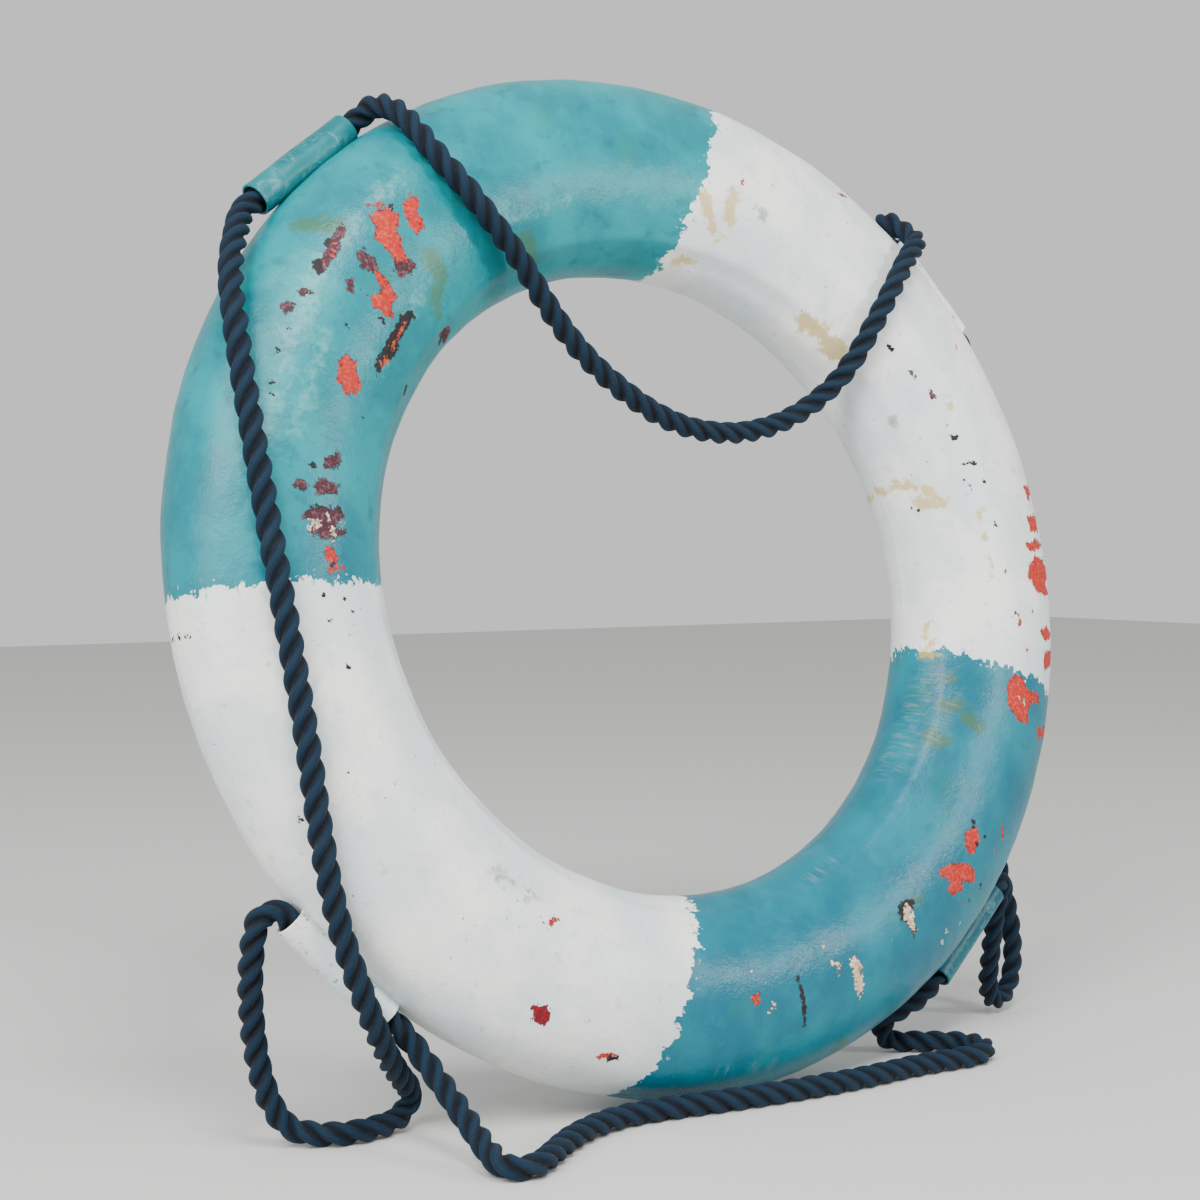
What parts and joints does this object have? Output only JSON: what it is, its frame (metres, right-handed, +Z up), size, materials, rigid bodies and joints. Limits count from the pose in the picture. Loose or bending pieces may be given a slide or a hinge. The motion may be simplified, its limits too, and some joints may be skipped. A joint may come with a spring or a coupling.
{
  "type": "ring lifebuoy",
  "caption": "Ring lifebuoy in weathered turquoise and white paint leaning back on its edge, with rope sleeves on the rim and a dark three-strand grab rope.",
  "frame": {"origin": "the point of the rim that stands on the floor, on the ring's lower edge", "axes": "+Z up; +X to the right as seen from the front; +Y to the rear, towards the wall that the ring leans on; the ring's axis lies in the YZ plane, 12 degrees off -Y"},
  "size_m": [0.7218, 0.2824, 0.7061],
  "materials": {
    "painted_shell": "satin brushed paint in turquoise and white bands, chipped and stained",
    "turquoise_sleeve": "satin turquoise paint, worn pale",
    "white_sleeve": "satin white paint, scuffed",
    "plug": "painted over with the shell",
    "foam": "closed-cell foam, not seen",
    "rope": "three-strand laid rope, navy",
    "twine": "waxed whipping twine, navy"
  },
  "bodies": {
    "root": {"foam_core": "foam", "foam_fill_plug": "plug", "front_shell": "painted_shell", "rear_shell": "painted_shell", "rope_in_lower_left": "rope", "rope_in_lower_right": "rope", "rope_in_upper_left": "rope", "rope_in_upper_right": "rope", "rope_span_bottom": "rope", "rope_span_left": "rope", "rope_span_right_lower": "rope", "rope_span_right_upper": "rope", "rope_span_top": "rope", "rope_splice": "rope", "sleeve_lower_left": "white_sleeve", "sleeve_lower_right": "turquoise_sleeve", "sleeve_upper_left": "turquoise_sleeve", "sleeve_upper_right": "white_sleeve", "vent_plug": "plug", "whipping_lower": "twine", "whipping_upper": "twine"}
  },
  "joints": []
}
